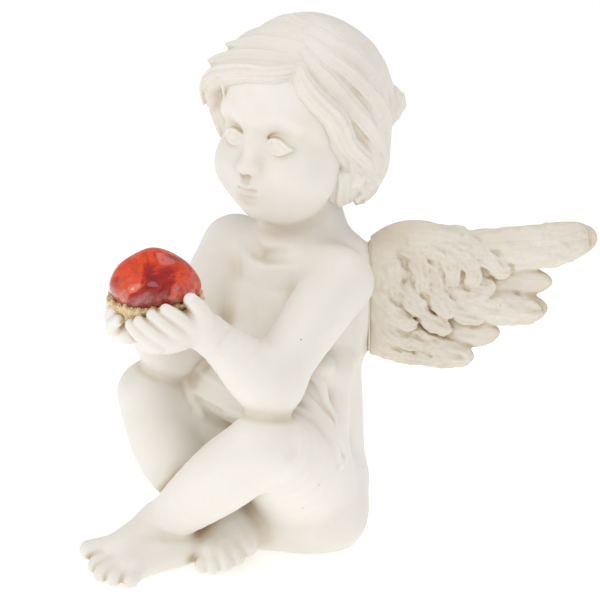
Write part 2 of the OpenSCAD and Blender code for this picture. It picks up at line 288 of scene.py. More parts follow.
def shapeHand(clay, side):
    def at(x, y, z, r):
        return (side * x, y, z, r)
    limb(clay, [at(6.0, -22.3, 36.5, 2.4), at(5.3, -25.3, 37.8, 2.3), at(4.4, -27.8, 37.4, 2.3),
                at(2.4, -29.2, 36.9, 2.0)], 1.0)
    limb(clay, [at(6.4, -23.2, 37.8, 2.1), at(6.1, -25.4, 39.4, 1.7)], 1.2)
    # four fingers wrap round the foot of the stone, tips to the front
    fingers = [
        [at(1.2, -32.0, 39.3, 0.76), at(2.7, -31.7, 38.2, 0.95), at(4.3, -30.0, 36.6, 1.1)],
        [at(2.5, -31.6, 40.0, 0.8), at(4.0, -30.8, 38.8, 1.0), at(5.2, -28.8, 37.1, 1.15)],
        [at(3.8, -30.5, 40.9, 0.84), at(5.2, -29.4, 39.6, 1.03), at(6.0, -27.3, 37.8, 1.2)],
        [at(5.0, -29.2, 41.6, 0.86), at(6.1, -28.0, 40.5, 1.02), at(6.6, -26.0, 38.8, 1.2)],
    ]
    for finger in fingers:
        limb(clay, finger, figure["fingerSoft"])
    limb(clay, [at(6.8, -24.0, 38.4, 1.8), at(7.0, -25.0, 40.8, 1.4), at(6.6, -26.2, 42.6, 1.0)], 0.7)


def shapeLegs(clay):
    # the left leg crosses in front
    limb(clay, [(3.9, -1.0, 8.2, 7.4), (6.9, -7.0, 12.6, 7.2), (10.4, -13.2, 17.8, 6.1),
                (12.2, -17.8, 21.2, 4.9)], 1.6)
    limb(clay, [(12.3, -18.5, 21.5, 4.75), (10.2, -19.6, 19.4, 4.8), (6.8, -20.2, 16.2, 4.9),
                (2.0, -20.8, 11.8, 4.3), (-2.6, -21.3, 7.6, 3.4), (-4.9, -21.7, 5.6, 3.0)], 0.9)
    limb(clay, [(-1.9, -20.9, 2.9, 2.8), (-2.6, -24.6, 2.7, 2.6), (-3.0, -28.2, 2.2, 2.2)], 1.2)
    limb(clay, [(-5.0, -22.0, 5.6, 2.9), (-5.7, -26.2, 4.4, 2.4), (-6.8, -28.6, 3.3, 2.1)], 1.4)
    limb(clay, [(-4.8, -27.4, 2.8, 2.6), (-3.4, -29.4, 2.0, 1.9)], 1.2)
    leftToes = [
        [(-7.4, -28.2, 3.2, 1.9), (-9.0, -30.0, 3.0, 1.6), (-9.7, -30.8, 3.0, 1.4)],
        [(-6.0, -29.2, 2.7, 1.4), (-7.1, -31.4, 2.1, 1.2), (-7.3, -31.9, 1.7, 1.05)],
        [(-4.6, -29.6, 2.3, 1.35), (-5.2, -32.2, 1.6, 1.15), (-5.3, -32.6, 1.2, 1.0)],
        [(-3.2, -29.6, 2.0, 1.3), (-3.2, -31.7, 1.4, 1.1), (-3.2, -32.1, 1.1, 0.95)],
        [(-1.9, -29.2, 1.7, 1.2), (-1.3, -30.6, 1.2, 1.05), (-1.3, -31.0, 1.0, 0.9)],
    ]
    limb(clay, [(-3.9, -1.0, 8.2, 7.4), (-6.9, -7.0, 13.2, 7.2), (-9.8, -12.8, 18.6, 6.0),
                (-11.0, -17.0, 22.0, 4.7)], 1.6)
    limb(clay, [(-11.1, -17.7, 22.2, 4.55), (-9.8, -17.5, 18.6, 4.8), (-7.7, -17.0, 14.0, 4.9),
                (-4.8, -15.8, 9.4, 3.9), (-2.6, -14.6, 6.2, 3.1)], 0.9)
    limb(clay, [(-2.6, -16.2, 3.0, 2.9), (0.4, -17.8, 2.6, 2.6), (2.4, -18.4, 2.2, 2.0)], 1.2)
    limb(clay, [(-2.0, -14.4, 6.0, 2.9), (1.4, -14.6, 5.3, 2.5), (3.0, -14.9, 4.5, 2.1)], 1.4)
    limb(clay, [(1.0, -16.0, 4.0, 2.6), (2.8, -16.6, 3.2, 2.0)], 1.2)
    rightToes = [
        [(3.0, -14.7, 4.6, 1.9), (4.6, -15.0, 3.8, 1.65), (5.3, -15.2, 3.2, 1.4)],
        [(3.4, -16.2, 3.8, 1.4), (5.0, -17.0, 2.9, 1.2), (5.6, -17.2, 2.2, 1.05)],
        [(3.0, -17.4, 3.1, 1.35), (4.6, -18.6, 2.3, 1.15), (5.1, -18.9, 1.7, 1.0)],
        [(2.2, -18.4, 2.6, 1.3), (3.6, -19.9, 1.8, 1.1), (4.0, -20.2, 1.3, 0.95)],
        [(1.2, -18.8, 2.1, 1.25), (2.2, -20.6, 1.4, 1.05), (2.5, -20.9, 1.1, 0.9)],
    ]
    for toe in leftToes + rightToes:
        limb(clay, toe, figure["toeSoft"])
    # the seat and the underside of the raised thigh sit full on the floor
    for side in (-1, 1):
        egg(clay, (side * 6.8, -0.6, 3.8), (4.6, 4.8, 4.2), 3.0)
    limb(clay, [(7.6, -1.6, 4.4, 4.2), (6.2, -5.4, 4.0, 3.9), (2.6, -9.0, 4.0, 3.8)], 4.0)


face = {
    "eye": (3.75, -8.5, -4.3),   # the left one, from the head's centre
    "ball": (2.3, 2.3, 2.15),
    "lidReach": 1.95,            # half the eye's width
    # height in the middle and at the corners, distance from the ball's centre, radius, cut or raised
    "lids": [(1.08, -0.1, 2.4, 0.3, False), (-0.98, -0.12, 2.32, 0.22, False), (1.75, 0.55, 2.62, 0.1, True)],
    "iris": 0.72,
}


def shapeHead(clay):
    turn = head["turn"]
    egg(clay, onHead(0, 0.2, -0.4), (10.4, 10.9, 10.4), 1.0, turn=turn)
    egg(clay, onHead(0, -4.0, 0.2), (8.9, 7.3, 8.4), 2.0, turn=turn)
    egg(clay, onHead(0, -4.4, -7.4), (8.5, 7.2, 8.0), 2.5, turn=turn)
    for side in (-1, 1):
        egg(clay, onHead(side * 4.4, -6.9, -9.0), (4.6, 4.6, 4.4), 2.5, turn=turn)
    egg(clay, onHead(0, -6.0, -12.7), (5.8, 5.0, 3.5), 2.5, turn=turn)
    egg(clay, onHead(0, -9.6, -13.1), (2.2, 2.1, 1.9), 1.8, turn=turn)
    egg(clay, onHead(0, -10.1, -9.8), (3.5, 2.2, 2.7), 1.8, turn=turn)
    # brow and eye sockets
    for side in (-1, 1):
        egg(clay, onHead(side * 4.3, -13.0, -4.0), (2.9, 2.3, 2.0), 2.8, cut=True, turn=turn)
        limb(clay, headPath((side * 2.0, -10.2, -0.9, 0.3), (side * 4.1, -10.3, 0.1, 0.35),
                            (side * 6.6, -8.8, -1.2, 0.25)), 2.2)
    # nose
    limb(clay, headPath((0, -10.2, -4.0, 0.8), (0, -11.2, -5.9, 0.8), (0, -12.2, -7.4, 1.05)), 1.7)
    for side in (-1, 1):
        egg(clay, onHead(side * 1.1, -11.8, -7.6), (0.7, 0.75, 0.6), 0.7)
        egg(clay, onHead(side * 0.6, -12.75, -8.5), (0.3, 0.35, 0.22), 0.4, cut=True)
    # eyes: ball, lids, a crease over the upper one, and a lightly cut iris under it
    for side in (-1, 1):
        eye = np.array(face["eye"]) * (side, 1, 1)
        egg(clay, onHead(*eye), face["ball"], 0.3)
        for middle, corner, out, r, isCut in face["lids"]:
            arc = []
            for a in np.linspace(-1, 1, 7):
                x, z = face["lidReach"] * a, corner + (middle - corner) * (1 - a * a)
                y = -math.sqrt(max(out ** 2 - x * x - z * z, 0.05))
                arc.append(onHead(eye[0] + x, eye[1] + y, eye[2] + z, r))
            limb(clay, arc, 0.3, cut=isCut, steps=2)
        for a in np.linspace(math.radians(150), math.radians(390), 9):
            x, z = face["iris"] * math.cos(a), face["iris"] * math.sin(a)
            egg(clay, onHead(eye[0] + x, eye[1] - 2.24, eye[2] + 0.12 + z), 0.16, 0.15, cut=True)
        egg(clay, onHead(eye[0], eye[1] - 2.36, eye[2] + 0.15), 0.22, 0.2, cut=True)
    # mouth
    limb(clay, headPath((-1.8, -11.3, -10.45, 0.3), (-0.7, -12.15, -9.95, 0.6), (0, -12.25, -10.08, 0.54),
                        (0.7, -12.15, -9.95, 0.6), (1.8, -11.3, -10.45, 0.3)), 0.45)
    limb(clay, headPath((-1.3, -11.3, -10.95, 0.35), (0, -11.95, -11.2, 0.74), (1.3, -11.3, -10.95, 0.35)), 0.5)
    limb(clay, headPath((-1.5, -12.15, -10.46, 0.08), (-0.8, -12.55, -10.5, 0.13), (0, -12.7, -10.62, 0.14),
                        (0.8, -12.55, -10.5, 0.13), (1.5, -12.15, -10.46, 0.08)), 0.4, cut=True)
    egg(clay, onHead(0, -12.5, -12.1), (1.3, 0.6, 0.35), 1.2, cut=True)
    limb(clay, headPath((0, -12.65, -8.9, 0.2), (0, -12.95, -9.5, 0.2)), 0.8, cut=True)
    # ears
    for side in (-1, 1):
        egg(clay, onHead(side * 9.5, 0.0, -7.6), (1.3, 2.3, 3.2), 0.8, turn=side * 14)
        egg(clay, onHead(side * 9.3, -0.8, -10.0), (1.3, 1.5, 1.4), 0.8)
        limb(clay, headPath((side * 10.9, -1.2, -6.0, 0.35), (side * 11.2, -0.6, -7.4, 0.5),
                            (side * 10.9, -1.0, -8.6, 0.3)), 0.6, cut=True)


def shapeWingSeats(clay):
    c, seat = math.cos(math.radians(figure["wingTurn"])), figure["wingSeat"]
    far, near = (seat + 1) * c, (seat - 2.4) * c
    for side in (-1, 1):
        limb(clay, [(side * near, near, 27.6, 1.9), (side * near, near, 34, 2.6),
                    (side * near, near, 41.2, 2.2)], 2.4)
        where, grid = patchOf(clay, (min(0, side * 14), 2, 20), (max(0, side * 14), 14, 50))
        past = (side * grid[0] + grid[1]) * c - seat
        low, high = np.array([(side * far, far, 28.2, 1.5), (side * far, far, 41.0, 1.7)], np.float32)
        press(clay, where, np.maximum(coneDepth(grid, low, high), past), 1.2)
        old = clay["depth"][where]
        clay["depth"][where] = np.where(grid[2] > 24, np.maximum(old, past), old)


def onSkin(clay, stations, sink):
    # pulls stations of x, y, z, radius to the clay's surface, each sunk by a share of its radius
    path = smoothPath(stations, 5).astype(np.float32)
    points = path[:, :3].copy()
    for _ in range(14):
        off = np.clip(readClay(clay, points) + sink * path[:, 3], -1, 1)
        points = points - slopeAt(clay, points) * off[:, None] * 0.8
    return np.hstack([points, path[:, 3:]])


def shapeCloth(clay):
    # cloth gathered in the lap and behind the folds, then the folds and the hem over the thigh
    limb(clay, [(-5.4, -9.9, 23.4, 4.9), (-1.0, -9.6, 23.8, 5.3), (4.4, -9.4, 22.4, 4.8)], 1.4)
    egg(clay, (0, -8.4, 13.4), (6.4, 4.4, 5.2), 1.2)
    limb(clay, [(7.2, -9.4, 22.6, 2.6), (7.6, -6.4, 25.0, 2.5), (7.8, -3.2, 26.4, 2.4),
                (7.4, 0.4, 26.0, 2.2)], 1.8)
    limb(clay, [(7.4, -7.4, 22.0, 3.8), (9.0, -6.4, 18.4, 3.8), (10.2, -5.6, 15.8, 2.9)], 1.4)
    limb(clay, [(7.4, -1.0, 24.0, 2.8), (7.9, -2.6, 19.0, 3.6), (7.6, -4.2, 14.6, 4.6)], 1.8)
    egg(clay, (9.0, -4.8, 28.2), (2.0, 2.0, 1.5), 1.6)
    folds = [
        [(5.4, -12.8, 23.4, 0.6), (7.2, -11.4, 23.8, 0.7), (9.0, -10.8, 22.0, 0.8), (10.4, -9.8, 19.6, 0.85),
         (11.4, -8.4, 17.2, 0.8), (12.1, -7.0, 15.4, 0.6)],
        [(8.6, -9.2, 26.2, 0.6), (10.0, -8.4, 24.0, 0.95), (11.4, -7.2, 21.6, 1.1), (12.5, -6.0, 19.4, 1.1),
         (12.9, -5.2, 17.4, 0.9), (12.8, -4.8, 16.0, 0.6)],
        [(9.6, -6.6, 27.4, 0.6), (10.8, -5.6, 25.6, 0.9), (11.8, -4.6, 23.6, 0.9), (12.6, -3.8, 21.6, 0.5)],
        [(12.1, -7.0, 15.4, 0.6), (12.6, -5.9, 15.2, 0.6), (12.8, -4.8, 16.0, 0.5)],
    ]
    for fold in folds:
        limb(clay, onSkin(clay, fold, 0.1), 0.6, steps=1)
    hems = [
        [(0.6, -16.0, 20.6, 0.3), (3.4, -15.8, 21.6, 0.36), (6.4, -14.8, 22.4, 0.4), (8.6, -12.8, 22.4, 0.36)],
        [(-8.6, -12.6, 24.4, 0.3), (-6.0, -14.6, 22.8, 0.34), (-3.4, -14.8, 19.8, 0.3)],
        [(-7.4, -11.0, 26.6, 0.3), (-3.6, -14.0, 26.0, 0.4), (1.4, -14.4, 25.2, 0.4), (5.6, -13.2, 24.2, 0.3)],
        [(-4.6, -14.2, 23.4, 0.25), (0.2, -15.2, 22.6, 0.35), (4.6, -14.4, 22.2, 0.3)],
    ]
    for hem in hems:
        limb(clay, onSkin(clay, hem, 0.2), 0.9, steps=1)


body = newClay(*figure["block"], claySettings["bodyCell"])
shapeTorso(body)
shapeLegs(body)
for side, drawIn in ((1, (0, 0, 0)), (-1, (-2.6, 1.4, -0.4))):
    shapeArm(body, side, drawIn)
shapeHead(body)
shapeCloth(body)
for side in (1, -1):
    shapeHand(body, side)
shapeWingSeats(body)
body["depth"] = np.maximum(body["depth"], figure["floorLevel"] - patchOf(body, *figure["block"])[1][2])
print("figure pressed into clay")
casting = skinOf(body, "seated_cherub_skin")[0]
print("figure skin:", len(casting.data.polygons), "faces")


# Finishes

def material(name):
    mat = bpy.data.materials.new(name)
    mat.use_nodes = True
    tree = mat.node_tree
    return mat, tree, tree.nodes["Principled BSDF"]


def fill(tree, node, values):
    # each value is a plain one, or the socket of another node
    for key, value in values.items():
        if hasattr(value, "links"):
            tree.links.new(value, node.inputs[key])
        else:
            node.inputs[key].default_value = value


def put(tree, kind, values=None, **settings):
    node = tree.nodes.new(kind)
    for key, setting in settings.items():
        setattr(node, key, setting)
    fill(tree, node, values or {})
    return node


def ramp(tree, source, stops):
    # a stop is a place and a colour, or a place and a grey
    node = put(tree, "ShaderNodeValToRGB", {"Fac": source})
    elements = node.color_ramp.elements
    while len(elements) < len(stops):
        elements.new(0.5)
    for element, (place, colour) in zip(elements, stops):
        element.position, element.color = place, (*(colour if isinstance(colour, tuple) else (colour,) * 3), 1)
    return node.outputs["Color"]


def noiseAt(tree, coordinates, scale, detail=3.0, rough=0.5, warp=0.0):
    return put(tree, "ShaderNodeTexNoise", {"Vector": coordinates, "Scale": scale, "Detail": detail,
                                            "Roughness": rough, "Distortion": warp}).outputs[0]


def cellsAt(tree, coordinates, scale):
    return put(tree, "ShaderNodeTexVoronoi", {"Vector": coordinates, "Scale": scale}).outputs["Distance"]


def calc(tree, operation, *values, clamp=False):
    return put(tree, "ShaderNodeMath", dict(enumerate(values)), operation=operation, use_clamp=clamp).outputs[0]


def vector(tree, x, y, z):
    return put(tree, "ShaderNodeCombineXYZ", {"X": x, "Y": y, "Z": z}).outputs[0]


def blendColour(tree, amount, a, b):
    a, b = (one if hasattr(one, "links") else (*one, 1) for one in (a, b))
    return put(tree, "ShaderNodeMix", {0: amount, 6: a, 7: b}, data_type="RGBA").outputs[2]


def bumpOf(tree, height, strength, distance):
    return put(tree, "ShaderNodeBump", {"Height": height, "Strength": strength,
                                        "Distance": distance}).outputs["Normal"]


def objectPlace(tree):
    return put(tree, "ShaderNodeTexCoord").outputs["Object"]


def pointValue(tree, name):
    return put(tree, "ShaderNodeAttribute", attribute_name=name).outputs["Fac"]


resin = {
    "ivory": (0.87, 0.835, 0.775),
    "warm": (0.82, 0.77, 0.685),
    # the tan painted into creases and combed lines, partly as shade and partly as a washed-in tan
    "shadeAndWashTan": (0.58, 0.46, 0.30),
    "pinHole": (0.30, 0.24, 0.17),
    # how strongly crease shade and washed-in tan are painted on each piece
    "figureShadeAndWash": 1.5,
    "hairShadeAndWash": 1.5,
    "wingShadeAndWash": 1.7,
    "roughness": 0.35,
    "glow": 0.18,            # subsurface weight
    "glowRadius": (1.0, 0.62, 0.38),
    "glowDepth": 0.0016,
    "patches": 160.0,        # this and the next ones are per metre
    "streaks": 900.0,
    "holes": 420.0,
    "holeGroups": 210.0,
    "softGrain": 520.0,
    "grain": 2600.0,
    "grainDepth": 0.00002,
}


def agedResin(name, shadeAndWashGain, rough=0.0, strands=0.0):
    mat, tree, skin = material(name)
    place = objectPlace(tree)
    patches = noiseAt(tree, place, resin["patches"])
    streaks = noiseAt(tree, place, resin["streaks"], 4.0, 0.6)
    # painted shade and a tan washed into the creases, more in some places than in others
    creaseShadeAndWash = calc(tree, "MULTIPLY_ADD", patches, 0.5, 0.72)
    creaseShadeAndWash = calc(tree, "MULTIPLY", calc(tree, "SUBTRACT", pointValue(tree, "crease_shade_and_wash"), 0.10), creaseShadeAndWash)
    creaseShadeAndWash = calc(tree, "MULTIPLY", creaseShadeAndWash, shadeAndWashGain)
    creaseShadeAndWash = calc(tree, "MULTIPLY_ADD", calc(tree, "SUBTRACT", streaks, 0.5), 0.10, creaseShadeAndWash, clamp=True)
    ground = blendColour(tree, ramp(tree, patches, [(0.35, 0), (0.75, 0.5)]), resin["ivory"], resin["warm"])
    tint = ramp(tree, creaseShadeAndWash, [(0.0, 0), (0.22, 0.18), (0.85, 0.95)])
    colour = blendColour(tree, tint, ground, resin["shadeAndWashTan"])
    # pin holes of trapped air
    hole = ramp(tree, cellsAt(tree, place, resin["holes"]), [(0.035, 1), (0.06, 0)])
    rare = ramp(tree, noiseAt(tree, place, resin["holeGroups"], 1.0), [(0.60, 0), (0.62, 1)])
    spot = calc(tree, "MULTIPLY", hole, rare)
    colour = blendColour(tree, calc(tree, "MULTIPLY", spot, 0.75), colour, resin["pinHole"])
    grain = noiseAt(tree, place, resin["grain"], 3.0, 0.65)
    height = calc(tree, "MULTIPLY_ADD", noiseAt(tree, place, resin["softGrain"], 2.0), 1.6, grain)
    height = calc(tree, "MULTIPLY_ADD", spot, -3.0, height)
    if strands:
        # fine combed lines that follow each lock, with painted shade and a little washed-in tan in their
        # grooves
        across = calc(tree, "MULTIPLY_ADD", streaks, 0.12, pointValue(tree, "strand"))
        line = noiseAt(tree, vector(tree, across, 0.0, 0.0), 3.6, 2.0, 0.6)
        height = calc(tree, "MULTIPLY_ADD", line, strands, height)
        colour = blendColour(tree, ramp(tree, line, [(0.30, 0.26), (0.48, 0)]), colour, resin["shadeAndWashTan"])
    fill(tree, skin, {
        "Base Color": colour,
        "Roughness": calc(tree, "MULTIPLY_ADD", streaks, 0.16, resin["roughness"] + rough),
        "Normal": bumpOf(tree, height, 0.5, resin["grainDepth"]),
        "Subsurface Weight": resin["glow"],
        "Subsurface Radius": resin["glowRadius"],
        "Subsurface Scale": resin["glowDepth"],
        "Specular IOR Level": 0.42})
    return mat


figureResin = agedResin("aged_ivory_resin", resin["figureShadeAndWash"])
casting.data.materials.append(figureResin)
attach(casting, "root")
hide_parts("figure_casting")


# Node trees for what repeats: locks of hair and feathers

def newTree(name, inputs):
    tree = bpy.data.node_groups.new(name, "GeometryNodeTree")
    tree.interface.new_socket("Geometry", in_out="OUTPUT", socket_type="NodeSocketGeometry")
    for label, kind, value in inputs:
        socket = tree.interface.new_socket(label, in_out="INPUT", socket_type="NodeSocket" + kind)
        if value is not None:
            socket.default_value = value
    return tree, tree.nodes.new("NodeGroupInput").outputs, tree.nodes.new("NodeGroupOutput").inputs


def geo(tree, kind, values=None, **settings):
    # the first output of a new geometry node
    return put(tree, "GeometryNode" + kind, values, **settings).outputs[0]


def endTree(tree, shape, given, result):
    shape = geo(tree, "RealizeInstances", {"Geometry": shape})
    shape = geo(tree, "SetMaterial", {"Geometry": shape, "Material": given["Finish"]})
    tree.links.new(shape, result["Geometry"])
    return tree


def runTree(obj, tree, values, name):
    # the mesh that the tree makes of the object; the modifier goes again
    live = obj.modifiers.new(name, "NODES")
    live.node_group = tree
    for item in tree.interface.items_tree:
        if item.item_type == "SOCKET" and item.in_out == "INPUT" and item.name in values:
            live[item.identifier] = values[item.name]
    mesh = collect(obj, name)
    obj.modifiers.remove(live)
    return mesh


def sweepTree(name, isFeather):
    # guides are edge paths with "girth", "facing" and "which" on their points
    tree, given, result = newTree(name, [
        ("Guides", "Geometry", None), ("Rings", "Int", 30), ("Around", "Int", 40),
        ("Flatness", "Float", 0.55), ("Ribs", "Float", 7.0), ("Rib Depth", "Float", 0.1),
        ("Finish", "Material", None)])

    def read(label, kind="FLOAT"):
        return geo(tree, "InputNamedAttribute", {"Name": label}, data_type=kind)

    def store(shape, label, value):
        return geo(tree, "StoreNamedAttribute", {"Geometry": shape, "Name": label, "Value": value},
                   data_type="FLOAT", domain="POINT")

    def times(a, b):
        return calc(tree, "MULTIPLY", a, b)

    curve = geo(tree, "MeshToCurve", {"Mesh": given["Guides"]})
    curve = geo(tree, "ResampleCurve", {"Curve": curve, "Count": given["Rings"]})
    curve = geo(tree, "SetCurveNormal", {"Curve": curve, "Normal": read("facing", "FLOAT_VECTOR")}, mode="FREE")
    curve = store(curve, "downLength", put(tree, "GeometryNodeSplineParameter").outputs["Length"])
    circle = geo(tree, "CurvePrimitiveCircle", {"Resolution": given["Around"], "Radius": 1.0})
    spot = put(tree, "ShaderNodeSeparateXYZ", {"Vector": geo(tree, "InputPosition")}).outputs
    circle = store(circle, "across", spot["Y"])
    thick, wide = times(spot["X"], given["Flatness"]), spot["Y"]
    if not isFeather:
        # fine ribs, cut into the lock all the way round
        angle = calc(tree, "ARCTAN2", spot["Y"], spot["X"])
        wave = calc(tree, "MULTIPLY_ADD", calc(tree, "COSINE", times(angle, given["Ribs"])), 0.5, 0.5)
        size = calc(tree, "SUBTRACT", 1.0, times(wave, given["Rib Depth"]))
        thick, wide = times(thick, size), times(wide, size)
    profile = geo(tree, "SetPosition", {"Geometry": circle, "Position": vector(tree, thick, wide, 0.0)})
    swept = geo(tree, "CurveToMesh", {
        "Curve": curve, "Profile Curve": profile, "Scale": read("girth"), "Fill Caps": True})
    if isFeather:
        # long wavy wrinkles down each vane, fine cracks across them, all different from feather to feather
        ribs, flow = times(read("across"), given["Ribs"]), times(read("downLength"), 0.42)
        spot = vector(tree, ribs, flow, read("which"))
        wave = noiseAt(tree, spot, 1.0, 2.0, warp=0.6)
        crack = noiseAt(tree, geo(tree, "InputPosition"), 1.9, 3.0, 0.7)
        lift = times(calc(tree, "SUBTRACT", wave, 0.55), times(given["Rib Depth"], 3.4))
        lift = calc(tree, "MULTIPLY_ADD", calc(tree, "SUBTRACT", crack, 0.5), given["Rib Depth"], lift)
        push = put(tree, "ShaderNodeVectorMath", {0: geo(tree, "InputNormal"), "Scale": lift},
                   operation="SCALE")
        swept = geo(tree, "SetPosition", {"Geometry": swept, "Offset": push.outputs[0]})
    return endTree(tree, swept, given, result)


def sweepAll(name, tree, paths, finish, **sizes):
    # paths: arrays of x, y, z, girth, facing x, y, z; gives triangles as numpy arrays
    points, edges, girth, facing, which = [], [], [], [], []
    for number, path in enumerate(paths):
        start = len(points)
        points += path[:, :3].tolist()
        girth += path[:, 3].tolist()
        facing += path[:, 4:7].tolist()
        which += [number * 3.7] * len(path)
        edges += [(start + i, start + i + 1) for i in range(len(path) - 1)]
    mesh = bpy.data.meshes.new(name)
    mesh.from_pydata(points, edges, [])
    writeValue(mesh, "girth", girth)
    writeValue(mesh, "which", which)
    mesh.attributes.new("facing", "FLOAT_VECTOR", "POINT").data.foreach_set("vector", np.array(facing).ravel())
    obj = link(name, mesh)
    made = runTree(obj, tree, {**sizes, "Finish": finish}, name)
    bpy.data.objects.remove(obj)
    made.calc_loop_triangles()
    verts = np.empty(len(made.vertices) * 3, np.float32)
    made.vertices.foreach_get("co", verts)
    tris = np.empty(len(made.loop_triangles) * 3, np.int32)
    made.loop_triangles.foreach_get("vertices", tris)
    bpy.data.meshes.remove(made)
    return verts.reshape(-1, 3), tris.reshape(-1, 3).astype(np.uint32)


def clayFromMesh(clay, verts, tris):
    # closed, overlapping meshes as a block of depths
    cell, band = clay["cell"], 5.0
    grid = openvdb.FloatGrid.createLevelSetFromPolygons(
        ((verts - clay["low"]) / cell).astype(np.float32), triangles=tris,
        transform=openvdb.createLinearTransform(voxelSize=1.0), halfWidth=band)
    block = np.full(clay["depth"].shape, band, np.float32)
    grid.copyToArray(block)
    return block * cell


# Hair

hair = {
    "block": ((-17, -15, 44.5), (17, 18, 77)),
    "cap": (10.6, 10.95, 10.8),
    "coreDepth": 1.15,       # how far under each lock its core lies
    "domeDip": 1.2,
    "backDip": 0.85,
    "flatness": 0.62,
    "strands": 6.0,
    "strandDepth": 0.4,
    "soft": 0.2,
    "seed": 7,
    # two rows of locks over the crown and back: where each starts and how it sways
    "rows": ((96, -6), (104, 7)),
    "rowEnd": 276,
    "rowSpacing": 15,
    # azimuth from the face, height angle, distance from the head's centre, half width
    "leftSide": [
        [(34, 34, 12.0, 0.9), (42, 19, 12.9, 1.3), (59, 0, 13.0, 1.5), (68, -18, 13.0, 1.4),
         (86, -33, 13.4, 1.3), (104, -43, 13.5, 0.9), (112, -45, 13.8, 0.4)],
        [(38, 46, 11.2, 0.9), (54, 26, 11.7, 1.6), (70, 4, 12.0, 1.8), (88, -14, 12.2, 1.7),
         (104, -29, 12.9, 1.5), (114, -39, 13.5, 0.9), (118, -44, 13.8, 0.4)],
        [(42, 58, 11.0, 0.9), (66, 36, 11.4, 1.7), (86, 13, 11.7, 1.9), (104, -5, 12.0, 1.8),
         (117, -21, 12.6, 1.4), (124, -34, 13.3, 0.8), (127, -40, 13.6, 0.4)],
        [(50, 70, 10.9, 0.9), (84, 47, 11.2, 1.9), (106, 22, 11.4, 2.0), (121, 3, 11.8, 1.8),
         (128, -10, 12.6, 1.9), (132, -12, 13.4, 1.7), (133, -6, 13.9, 1.4), (132, 0, 13.9, 0.8)],
        [(70, 80, 10.8, 0.9), (116, 58, 11.1, 1.7), (130, 32, 11.3, 1.8), (142, 8, 11.6, 1.6),
         (148, -14, 12.2, 1.4), (142, -30, 13.0, 0.9), (138, -36, 13.4, 0.4)],
        [(62, -22, 11.7, 0.7), (72, -34, 12.0, 1.0), (80, -44, 12.4, 0.9), (90, -50, 12.9, 0.5)],
        [(92, -30, 12.2, 1.5), (100, -39, 13.4, 2.0), (108, -46, 14.4, 2.0), (104, -51, 14.9, 1.5),
         (96, -51, 14.6, 0.9)],
        [(110, -30, 12.4, 1.5), (120, -40, 13.6, 1.9), (128, -49, 14.9, 1.9), (126, -56, 16.0, 1.5),
         (118, -60, 16.2, 0.8)],
        [(126, -26, 12.4, 1.3), (134, -38, 13.4, 1.7), (140, -50, 14.8, 1.5), (144, -58, 16.0, 1.0),
         (140, -63, 16.6, 0.5)],
    ],
    "curls": [
        [(78, -36, 12.4, 1.4), (84, -47, 13.6, 1.9), (93, -54, 15.0, 1.9), (102, -58, 15.7, 1.3),
         (110, -57, 15.4, 0.8)],
        [(104, -47, 14.4, 1.6), (113, -56, 15.6, 1.8), (119, -61, 16.4, 1.4), (112, -64, 16.4, 0.8)],
        [(70, -40, 12.8, 1.3), (75, -51, 13.8, 1.8), (80, -59, 14.7, 1.8), (90, -63, 15.3, 1.4),
         (98, -60, 15.2, 0.8)],
        [(74, -30, 12.2, 1.0), (80, -37, 12.9, 1.4), (90, -42, 13.4, 1.4), (97, -38, 13.7, 1.0),
         (94, -33, 13.6, 0.6)],
    ],
    "fringe": [
        [(34, 34, 11.9, 0.9), (16, 29, 12.6, 1.2), (-6, 27, 12.9, 1.3), (-28, 21, 13.0, 1.4),
         (-43, 14, 13.4, 1.2), (-50, 5, 14.1, 0.9), (-51, -6, 14.0, 0.4)],
        [(33, 42, 11.3, 0.8), (10, 41, 11.7, 1.4), (-16, 37, 12.0, 1.6), (-36, 29, 12.6, 1.4),
         (-47, 22, 13.6, 0.9), (-51, 20, 14.3, 0.4)],
        [(32, 52, 11.2, 0.8), (6, 53, 11.5, 1.5), (-22, 49, 11.7, 1.7), (-40, 41, 12.2, 1.4),
         (-49, 35, 13.0, 0.8), (-52, 33, 13.5, 0.4)],
        [(34, 63, 11.1, 0.9), (-4, 66, 11.2, 1.6), (-40, 58, 11.4, 1.8), (-62, 43, 11.8, 1.7),
         (-72, 27, 12.3, 1.4), (-74, 12, 12.9, 0.8), (-72, 4, 13.3, 0.4)],
        [(36, 76, 11.0, 0.9), (-40, 78, 11.0, 1.6), (-78, 60, 11.2, 1.8), (-90, 38, 11.6, 1.8),
         (-92, 16, 12.0, 1.6), (-86, -4, 12.5, 1.2), (-82, -14, 13.0, 0.5)],
        [(-30, 22, 12.4, 0.4), (-31, 12, 12.1, 0.45), (-29, 4, 11.7, 0.35), (-25, -2, 11.5, 0.15)],
        [(-46, 18, 12.6, 0.9), (-54, 6, 12.9, 1.3), (-57, -8, 12.8, 1.4), (-54, -20, 12.7, 1.1),
         (-51, -28, 13.0, 0.5)],
        [(-54, 22, 12.6, 0.8), (-66, 6, 12.7, 1.4), (-68, -12, 12.6, 1.4), (-62, -26, 12.9, 1.0),
         (-57, -36, 13.6, 0.4)],
        [(-66, 30, 12.0, 0.9), (-80, 8, 12.3, 1.5), (-84, -14, 12.4, 1.5), (-80, -32, 12.9, 1.2),
         (-74, -44, 13.8, 0.5)],
        [(-84, 20, 11.8, 0.9), (-98, -4, 12.1, 1.6), (-100, -24, 12.6, 1.5), (-96, -42, 13.8, 1.2),
         (-104, -54, 15.2, 0.6)],
    ],
}


